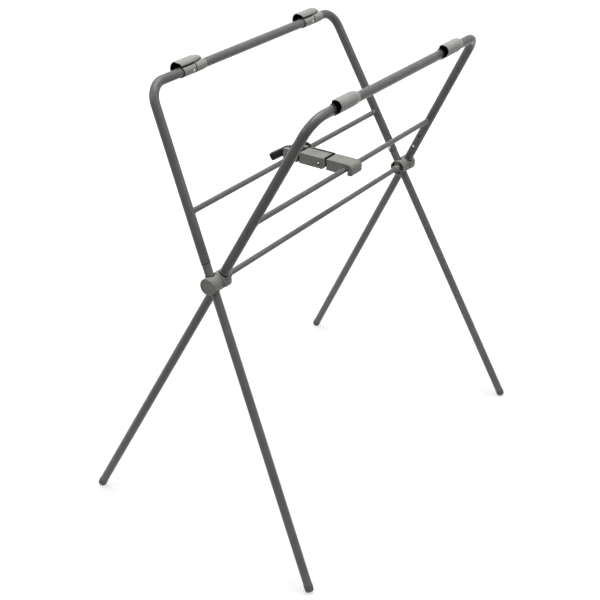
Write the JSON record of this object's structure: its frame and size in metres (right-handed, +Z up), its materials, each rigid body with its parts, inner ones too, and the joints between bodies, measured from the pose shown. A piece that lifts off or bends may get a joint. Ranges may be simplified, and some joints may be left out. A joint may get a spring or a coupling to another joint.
{
  "type": "folding baby bath stand",
  "caption": "Folding cross-legged tubular stand that carries a baby bath on its two top bars, with a hooked locking brace across the middle.",
  "frame": {"origin": "on the floor, under the middle of the hinge axis", "axes": "+Z up; X along the hinge axis and the top bars; the left frame has its top bar on the +Y side"},
  "size_m": [0.9618, 0.6178, 0.9972],
  "materials": {
    "tube": "semi-gloss grey powder coat",
    "clip": "satin light grey moulding",
    "grey": "satin mid grey moulding",
    "black": "matt black moulding",
    "steel": "zinc-plated steel"
  },
  "bodies": {
    "frame_left": {"top_frame_left": "tube", "leg_left_near": "tube", "leg_left_far": "tube", "foot_left_near": "black", "foot_left_far": "black", "crossbar_left": "tube", "axle_tube": "tube", "axle_ferrules": "grey", "hub_left_near": "grey", "hub_left_far": "grey", "hub_cap_near": "grey", "pivot_bolt_near": "steel", "pivot_bolt_far": "steel", "slip_washers": "black", "hub_screws_left": "steel", "button_springs_left": "steel", "clip_left_near": "clip", "clip_left_far": "clip", "clip_screws_left": "steel", "clip_linings_left": "black", "bar_collars": "black"},
    "frame_right": {"top_frame_right": "tube", "leg_right_near": "tube", "leg_right_far": "tube", "foot_right_near": "black", "foot_right_far": "black", "crossbar_right": "tube", "hub_right_near": "grey", "hub_right_far": "grey", "hub_cap_far": "grey", "hub_screws_right": "steel", "button_springs_right": "steel", "clip_right_near": "clip", "clip_right_far": "clip", "clip_screws_right": "steel", "clip_linings_right": "black"},
    "brace": {"bar_clamp": "grey", "brace_core": "black", "brace_housing": "grey", "hook_spring": "steel", "hook_pin": "steel", "lever_pin": "steel"},
    "hook": {"brace_hook": "grey"},
    "lever": {"release_lever": "black"},
    "snap_left_near": {"button_left_near": "steel"},
    "snap_left_far": {"button_left_far": "steel"},
    "snap_right_near": {"button_right_near": "steel"},
    "snap_right_far": {"button_right_far": "steel"}
  },
  "joints": [
    {"name": "frame_fold", "type": "hinge", "parent": "frame_left", "child": "frame_right", "pos_m": [0, 0, 0.6061], "axis": [-1, 0, 0], "range_deg": [0, 44]},
    {"name": "brace_swing", "type": "hinge", "parent": "frame_left", "child": "brace", "pos_m": [0, 0.06716, 0.74022], "axis": [-1, 0, 0], "range_deg": [0, 116.6]},
    {"name": "release_lever", "type": "hinge", "parent": "brace", "child": "lever", "pos_m": [0.015, 0.08216, 0.74372], "axis": [1, 0, 0], "range_deg": [0, 5], "stiffness_Nm_per_rad": 1.2, "springref_deg": -6.88},
    {"name": "hook_tilt", "type": "hinge", "parent": "brace", "child": "hook", "pos_m": [0.015, 0.00116, 0.74022], "axis": [-1, 0, 0], "range_deg": [0, 18]},
    {"name": "snap_left_near", "type": "slide", "parent": "frame_left", "child": "snap_left_near", "axis": [-0.9936, 0.0507, 0.1012], "range_m": [0, 0.003], "stiffness_N_per_m": 900, "springref_m": -0.004},
    {"name": "snap_left_far", "type": "slide", "parent": "frame_left", "child": "snap_left_far", "axis": [0.9936, 0.0507, 0.1012], "range_m": [0, 0.003], "stiffness_N_per_m": 900, "springref_m": -0.004},
    {"name": "snap_right_near", "type": "slide", "parent": "frame_right", "child": "snap_right_near", "axis": [-0.9936, -0.0507, 0.1012], "range_m": [0, 0.003], "stiffness_N_per_m": 900, "springref_m": -0.004},
    {"name": "snap_right_far", "type": "slide", "parent": "frame_right", "child": "snap_right_far", "axis": [0.9936, -0.0507, 0.1012], "range_m": [0, 0.003], "stiffness_N_per_m": 900, "springref_m": -0.004}
  ],
  "couplings": [
    {"joint": "brace_swing", "follows": "frame_fold", "ratio": 2.65},
    {"joint": "hook_tilt", "follows": "release_lever", "ratio": 3.6}
  ]
}
